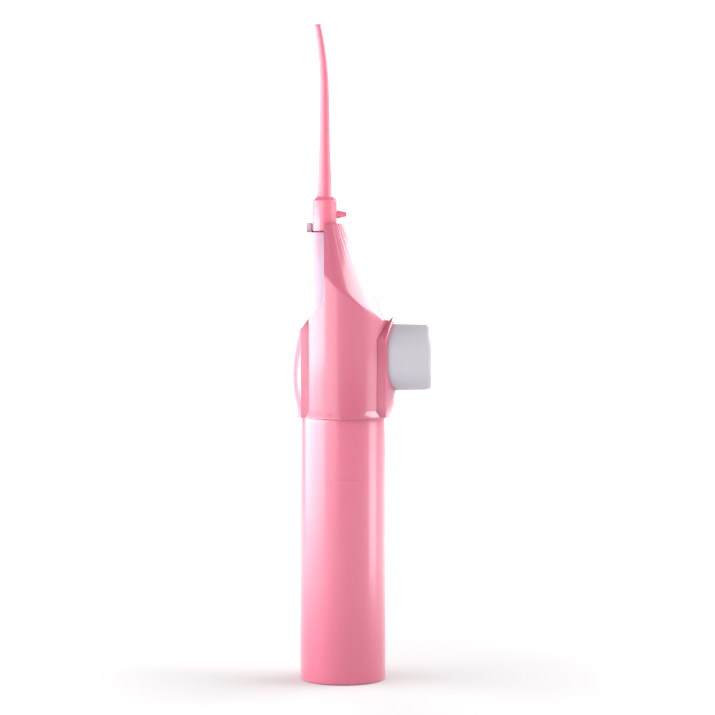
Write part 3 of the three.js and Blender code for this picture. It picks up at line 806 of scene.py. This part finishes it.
def arch_form(name, half_width, arch_radius, bottom, first_x):
    """The chassis' button side: flat sides, and an arch over the button that flares at its lip."""
    flare = [(-1.6, 0.0), (-0.4, 0.25), (1, 0.8), (4, 2.4)]
    rings = [arch_ring(first_x, half_width, arch_radius, bottom)]
    for x, grown in flare:
        rings.append(arch_ring(ARCH_LIP_X + x, half_width, arch_radius + grown, bottom))
    return lofted(name, rings)


def spine_form(name, half_width, bottom, inset, roof, last_x):
    """The chassis' left side, with the slope of its shoulder."""
    outline = [
        (-24, bottom),
        (-24, 136.4 - inset),
        (-18.8 + 0.6 * inset, 141.2 - inset),
        (-17 + 0.7 * inset, 143 - inset),
        (-13.4 + 0.7 * inset, roof),
        (last_x, roof),
        (last_x, bottom),
    ]
    return prism_y(name, outline, -half_width, half_width)


def belly_solid(name, profile, edge_x, side, swell=0.0):
    """Half of the chassis' frame: crowned in the middle by the profile, straight down its edges."""
    half = BAND_HALF_WIDTH + 1
    rings = []
    for rise, crown in profile:
        ring = [(-side * 2, -half, SEAM_Z + rise)]
        for k in range(49):
            y = -half + 2 * half * k / 48
            x = edge_x + (crown - edge_x) * (1 - (y / BAND_HALF_WIDTH) ** 2) + swell
            ring.append((side * x, y, SEAM_Z + rise))
        ring.append((-side * 2, half, SEAM_Z + rise))
        rings.append(ring)
    return lofted(name, rings)


def make_bezel():
    """The thin raised rim around the button's hole."""
    inner, outer = BUTTON_RADIUS + BUTTON_HOLE_ROOM, BUTTON_RADIUS + BUTTON_HOLE_ROOM + 0.5
    bezel = lofted("bezel", [oval_ring(x, outer, BUTTON_STRAIGHT) for x in (14, 24)])
    cut(bezel, lofted("bezel_hole", [oval_ring(x, inner, BUTTON_STRAIGHT) for x in (13, 25)]))
    return common(bezel, belly_solid("bezel_room", BUTTON_BELLY, BOSS_EDGE_X, 1, 0.3))


def make_chassis():
    below = SEAM_Z - 1
    band = belly_solid("chassis_frame", SPINE_BELLY, SPINE_EDGE_X, -1)
    common(band, spine_form("spine", BAND_HALF_WIDTH, below, 0, BAND_TOP, 0.5))
    boss = belly_solid("boss", BUTTON_BELLY, BOSS_EDGE_X, 1)
    common(boss, arch_form("arch", BAND_HALF_WIDTH, ARCH_RADIUS, below, 0.0))
    join(band, boss, disc_solid("socket", SOCKET_RADIUS, SEAM_Z, SOCKET_ROOF_TOP, sides=FINE))
    inner = BAND_HALF_WIDTH - BAND_WALL
    hollow = spine_form("hollow", inner, SOCKET_ROOF_TOP, 1.4, BAND_TOP - 1.6, 0.5)
    join(hollow, arch_form("hollow_arch", inner, ARCH_RADIUS - 0.6, SOCKET_ROOF_TOP, 0.0))
    room = [(19.4, SOCKET_ROOF_TOP - 0.1), (19.4, 129), (17.5, 141.5), (16.7, 149)]
    common(hollow, turned_solid("hollow_room", room))
    hole_radius = BUTTON_RADIUS + BUTTON_HOLE_ROOM
    hole = lofted("hole", [oval_ring(x, hole_radius, BUTTON_STRAIGHT) for x in (13, 25)])
    roof_low, roof_high = SOCKET_ROOF_TOP - 3, SOCKET_ROOF_TOP + 1
    cut(
        band,
        disc_solid("tank_socket", SOCKET_BORE, below, SOCKET_ROOF_TOP - SOCKET_ROOF, sides=FINE),
        hollow,
        hole,
        disc_solid("neck_hole", NECK_INNER_RADIUS + GAP, BAND_TOP - 3, BAND_TOP + 3, NOZZLE_X),
        disc_solid("port_hole", PORT_RADIUS, roof_low, roof_high, PORT_X, 48),
        disc_solid("air_hole", AIR_HOLE_RADIUS, roof_low, roof_high, AIR_HOLE_X, 24),
    )
    join(band, make_bezel())
    smooth_edges(band, 0.28, 30, 3)
    finish_piece(band, "housing", housing_pink, ["chassis"])


# ---- Neck ----


def left_opening(offset):
    """The region left of the covers' edge, moved right by offset, as an outline in X and Z."""
    shifted = [(x + offset, z) for x, z in HOLLOW_CURVE[:3]]
    shifted.append((HOLLOW_FOOT[0] + offset, HOLLOW_FOOT[1] - offset))
    curve = [tuple(curve_point(k / 24, shifted)) for k in range(25)]
    return [(curve[0][0], COVER_TOP + 8)] + curve + [
        (-17.2 + offset, 143 - offset),
        (-22, 139.2 - offset),
        (-32, 139.2 - offset),
        (-32, COVER_TOP + 8),
    ]


def make_neck():
    sides = 128
    core = disc_solid("neck_piece", NECK_INNER_RADIUS, NECK_BOTTOM, NECK_TOP - 0.5, NOZZLE_X, sides)
    half = common(
        disc_solid("left_half", NECK_RADIUS, BAND_TOP + GAP, NECK_TOP, NOZZLE_X, sides),
        block("half_room", -40, LEFT_EDGE - NECK_GAP, -20, 20, 100, 200),
    )
    wall = cut(
        prism_y("wall", left_opening(1.6), -20, 20),
        prism_y("wall_outside", left_opening(0.2), -30, 30),
        block("wall_foot", -50, 50, -50, 50, 90, BAND_TOP + GAP),
    )
    inset = COVER_WALL + GAP
    room_ends = (100, COVER_TOP - 3)
    room = turned_solid("room_round", [(COVER_RADIUS - inset, z) for z in room_ends])
    cone = turned_solid("room_cone", [(cone_radius(z, inset), z) for z in room_ends], NOZZLE_X)
    common(wall, room, cone)
    join(core, half, wall)
    cut(
        core,
        disc_solid("bore", NECK_BORE, NECK_BOTTOM - 1, NECK_TOP + 1, NOZZLE_X, sides),
        block("notch", NOZZLE_X - 9, NOZZLE_X + 0.3, -10, 0, NECK_SEAT, NECK_TOP + 2),
    )
    smooth_edges(core, 0.2, 32, 2)
    finish_piece(core, "housing", neck_pale, ["neck_tube"])


# ---- Button ----


def make_button():
    """A hollow oval cap, rounder above than below, with a dished face and the rod's socket."""
    wall = 1.4
    draft = 0.35
    depth, top_corner, bottom_corner = 2.4, 2.8, 1.3  # the rounding along X, and its heights
    rod_socket_end, rod_socket_radius, rod_bore = 26, 3.6, 2.35
    rings = [oval_ring(BUTTON_ROOT_X, BUTTON_RADIUS - 0.02, BUTTON_STRAIGHT)]
    for x in np.linspace(BUTTON_ROOT_X + 0.3, BUTTON_FACE_X - depth, 12):
        share = (x - BUTTON_ROOT_X) / (BUTTON_FACE_X - BUTTON_ROOT_X)
        rings.append(oval_ring(x, BUTTON_RADIUS - draft * share, BUTTON_STRAIGHT))
    outer = BUTTON_RADIUS - draft
    for turn in np.linspace(0, math.pi / 2, 11)[1:]:
        x = BUTTON_FACE_X - depth * (1 - math.sin(turn))
        top, bottom = top_corner * (1 - math.cos(turn)), bottom_corner * (1 - math.cos(turn))
        lift = (bottom - top) / 2
        rings.append(oval_ring(x, outer - (top + bottom) / 2, BUTTON_STRAIGHT, lift))
    rim = outer - (top_corner + bottom_corner) / 2
    drop = (bottom_corner - top_corner) / 2
    dish = 0.55
    for share in np.linspace(1, 0, 14)[1:]:
        x = BUTTON_FACE_X - dish * (1 - share**2) ** 1.5
        kept = max(share, 0.03)
        rings.append(oval_ring(x, rim * kept, BUTTON_STRAIGHT * kept, lift=drop * kept))
    inner = BUTTON_RADIUS - wall
    inside_face = BUTTON_FACE_X - wall - 0.5
    skirt = [oval_ring(x, inner, BUTTON_STRAIGHT) for x in (BUTTON_ROOT_X, BUTTON_FACE_X - depth)]
    skirt.append(oval_ring(inside_face, inner - 1.1, BUTTON_STRAIGHT, lift=drop / 2))
    for x, radius in (
        (inside_face, rod_socket_radius),
        (rod_socket_end, rod_socket_radius),
        (rod_socket_end, rod_bore),
        (inside_face, rod_bore),
    ):
        skirt.append(oval_ring(x, radius, 0.01))
    button = lofted("button_cap", skirt[::-1] + rings)
    smooth_edges(button, 0.22, 40, 2)
    finish_piece(button, "plunger", button_white, ["button"])


def make_spring():
    """The return spring as a round-wired coil."""
    low, high = box_mm("return_spring")
    coil = high.y - SPRING_WIRE
    from_x, to_x = low.x + SPRING_WIRE, high.x - SPRING_WIRE
    along = Vector((1, 0, 0))
    steps_per_turn = 36
    steps = steps_per_turn * SPRING_TURNS
    wire = circle(SPRING_WIRE, 12)
    rings = []
    for i in range(steps + 1):
        angle = 2 * math.pi * i / steps_per_turn
        outward = Vector((0, math.cos(angle), math.sin(angle)))
        centre = Vector((from_x + (to_x - from_x) * i / steps, 0, PUMP_Z)) + outward * coil
        rings.append([tuple(centre + outward * out + along * side) for out, side in wire])
    spring = lofted("spring_coil", rings)
    shade_by_angle(spring, 60)
    finish_piece(spring, "housing", steel, ["return_spring"])
    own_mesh(spring)


# ---- Nozzle ----


def bend(z):
    """How far the nozzle's centre line has moved towards -X at a height."""
    if z < BEND_START:
        return 0.0
    return BEND_REACH * ((z - BEND_START) / (NOZZLE_TIP - BEND_START)) ** 2.2


def make_nozzle():
    groove_low, groove_high, groove_radius = SEAL_HEIGHT - 0.7, SEAL_HEIGHT + 0.7, 2.1
    profile = rounded(
        [
            (0.9, STEM_BOTTOM),
            (STEM_RADIUS, STEM_BOTTOM, 0.4),
            (STEM_RADIUS, groove_low, 0.1),
            (groove_radius, groove_low, 0.1),
            (groove_radius, groove_high, 0.1),
            (STEM_RADIUS, groove_high, 0.1),
            (STEM_RADIUS, COLLAR_BOTTOM, 0.2),
            (COLLAR_RADIUS, COLLAR_BOTTOM, 0.3),
            (COLLAR_RADIUS, COLLAR_TOP, 0.25),
            (3.35, COLLAR_TOP + 1.5, 0.5),
            (2.95, COLLAR_TOP + 4),
        ]
    )
    taper_start, taper_radius, taper = 238, 1.92, 0.0176
    profile += [(2.85, 200), (2.7, 204), (2.55, 208), (2.35, 214), (2.15, 222), (1.98, 234)]
    profile.append((taper_radius, taper_start))
    for z in np.arange(240, NOZZLE_TIP - 1.6, 1.0):
        profile.append((taper_radius - taper * (z - taper_start), z))
    tip_radius, tip_round = 1.45, 0.65
    for turn in np.linspace(0, math.pi / 2, 7):
        radius = tip_radius - tip_round * (1 - math.cos(turn))
        profile.append((radius, NOZZLE_TIP - tip_round + tip_round * math.sin(turn)))
    profile += [(0.5, NOZZLE_TIP), (0.42, NOZZLE_TIP - 0.25)]
    profile += [(0.42, 256), (0.5, 248), (0.6, 240), (0.9, 200)]
    nozzle = turned("nozzle_tube", profile, 72, NOZZLE_X, closed=True)
    for vertex in nozzle.data.vertices:
        vertex.co.x -= bend(vertex.co.z / MM) * MM
    peg_rings = rounded(
        [
            (1.75, NOZZLE_X + 3.4),
            (1.7, NOZZLE_X + COLLAR_RADIUS - 0.15, 0.1),
            (0.95, NOZZLE_X + 8.1, 1.2),
            (0.85, NOZZLE_X + 8.8, 0.3),
            (0.1, NOZZLE_X + 8.8),
        ]
    )
    join(nozzle, along_x_solid("peg", peg_rings, PEG_Z, 48))
    shade_by_angle(nozzle, 45)
    finish_piece(nozzle, "nozzle", nozzle_pink, ["nozzle"])


# ---- Inner pieces: the CAD nodes keep their shapes ----

INNER_MATERIALS = {
    "tank_gasket": silicone,
    "piston_rod": natural,
    "piston": natural,
    "piston_seal": black_rubber,
    "pump_barrel": natural,
    "barrel_cap": natural,
    "inlet_valve_body": natural,
    "inlet_ball": steel,
    "outlet_valve_body": natural,
    "outlet_ball": steel,
    "outlet_hose": silicone,
    "hose_spigot": natural,
    "swivel_sleeve": natural,
    "sleeve_seal": black_rubber,
    "nozzle_seal": black_rubber,
    "dip_tube": silicone,
    "intake_strainer": natural,
}


def dress_inner_pieces():
    for name, material in INNER_MATERIALS.items():
        node = nodes[name]
        node.data.materials.clear()
        node.data.materials.append(material)
        shade_by_angle(node, 35)


# ---- Studio ----


FLOOR_RADIUS = 900
FLOOR_GLOW_START = 80
FLOOR_GLOW_FULL = 400
FLOOR_GLOW = 0.75


def make_floor():
    """A round white floor that glows a little away from the object, so its rim doesn't show."""
    rim = circle(FLOOR_RADIUS, 128)
    floor = mesh_object("floor", [(x, y, 0) for x, y in rim], [tuple(range(len(rim)))])
    made = Nodes("floor_white")
    colour = made.blend(made.noise(4, 2), (0.57, 0.57, 0.57), (0.59, 0.59, 0.59))
    made.link(colour, made.shader.inputs["Base Color"])
    made.set(Roughness=0.9, Specular_IOR_Level=0.1)
    away = made.add("ShaderNodeVectorMath", operation="LENGTH")
    made.link(made.place, away.inputs[0])
    spread = made.add("ShaderNodeMapRange", interpolation_type="SMOOTHSTEP")
    spread.inputs["From Min"].default_value = FLOOR_GLOW_START * MM
    spread.inputs["From Max"].default_value = FLOOR_GLOW_FULL * MM
    spread.inputs["To Max"].default_value = FLOOR_GLOW
    made.link(away.outputs["Value"], spread.inputs["Value"])
    made.shader.inputs["Emission Color"].default_value = (1, 1, 1, 1)
    made.link(spread.outputs["Result"], made.shader.inputs["Emission Strength"])
    floor.data.materials.append(made.material)


# Azimuth 0 is the -Y side and 90 is +X. Distance and size are in metres, angles in degrees.
# A light faces the object's axis at the height aim_z, in millimetres.
LIGHTS = [
    # name, azimuth, elevation, distance, width, height, radiance, roll, aim_z
    ("key_left", -83, 0, 0.5, 0.76, 0.1, 8.3, 0, 117),
    ("low_left", -84, 0, 0.5, 0.70, 0.065, 4.9, 0, 36),
    ("key_high", -86, 22, 0.5, 0.70, 0.35, 3.2, 0, 140),
    ("fill_left", -30, 12, 0.6, 0.36, 0.5, 2.1, 0, 140),
    ("back_left", -160, 6, 0.9, 0.4, 0.6, 3.0, 0, 140),
    ("top_front", 0, 57, 0.9, 0.5, 0.5, 0.6, 0, 140),
    ("strip_right", 107, 31, 0.8, 1.15, 0.42, 6.0, -20, 140),
    ("side_right", 82, 14, 0.6, 0.36, 0.3, 1.7, 0, 140),
    ("low_right", 86, 0, 0.3, 0.13, 0.085, 4.2, 0, 45),
    ("back_right", 158, 8, 0.9, 0.26, 0.5, 1.8, 0, 140),
]


def softbox(name, azimuth, elevation, distance, width, height, radiance, roll, aim_z):
    """A rectangular light as a row of LIGHTS says."""
    turn, tilt = math.radians(azimuth), math.radians(elevation)
    aim = Vector((0, 0, aim_z)) * MM
    level = math.cos(tilt)
    towards = Vector((math.sin(turn) * level, -math.cos(turn) * level, math.sin(tilt)))
    data = bpy.data.lights.new(name, "AREA")
    data.shape = "RECTANGLE"
    data.size = width
    data.size_y = height
    data.energy = radiance * math.pi * width * height
    light = bpy.data.objects.new(name, data)
    light.location = aim + towards * distance
    light.rotation_mode = "QUATERNION"
    facing = (-towards).to_track_quat("-Z", "Y")
    light.rotation_quaternion = facing @ Quaternion((0, 0, 1), math.radians(roll))
    bpy.context.scene.collection.objects.link(light)


WORLD_DIM = 0.37
WORLD_HORIZON = 1.0
WORLD_BEHIND = 1.2
WORLD_GLOWS = [
    # direction, where along it the glow starts and is full, strength
    ((0, 0, 1), 0.32, 0.08, WORLD_HORIZON - WORLD_DIM),
    ((0, 1, 0), 0.70, 0.88, WORLD_BEHIND - WORLD_HORIZON),
]


def make_world():
    """Dim overhead and white from the horizon down, brightest behind the object on the +Y side."""
    world = bpy.data.worlds.new("studio")
    bpy.context.scene.world = world
    world.use_nodes = True
    tree = world.node_tree
    background = tree.nodes["Background"]
    background.inputs["Color"].default_value = (1, 1, 1, 1)
    place = tree.nodes.new("ShaderNodeTexCoord")
    glow = None
    for direction, start, full, strength in WORLD_GLOWS:
        facing = tree.nodes.new("ShaderNodeVectorMath")
        facing.operation = "DOT_PRODUCT"
        facing.inputs[1].default_value = direction
        tree.links.new(place.outputs["Generated"], facing.inputs[0])
        spread = tree.nodes.new("ShaderNodeMapRange")
        spread.interpolation_type = "SMOOTHSTEP"
        spread.inputs["From Min"].default_value = start
        spread.inputs["From Max"].default_value = full
        spread.inputs["To Max"].default_value = strength
        tree.links.new(facing.outputs["Value"], spread.inputs["Value"])
        total = tree.nodes.new("ShaderNodeMath")
        tree.links.new(spread.outputs["Result"], total.inputs[0])
        if glow:
            tree.links.new(glow, total.inputs[1])
        else:
            total.inputs[1].default_value = WORLD_DIM
        glow = total.outputs[0]
    tree.links.new(glow, background.inputs["Strength"])


def make_studio():
    """The room, and lights on both sides that draw the highlights down the tank and the covers."""
    settings = bpy.context.scene.view_settings
    settings.view_transform = "Standard"
    settings.look = "None"
    make_world()
    for light in LIGHTS:
        softbox(*light)


make_camera()
make_tank()
make_cover("front_shell", "front_cover", -1)
make_cover("rear_shell", "rear_cover", 1)
make_chassis()
make_neck()
make_button()
make_spring()
make_nozzle()
dress_inner_pieces()
make_floor()
make_studio()
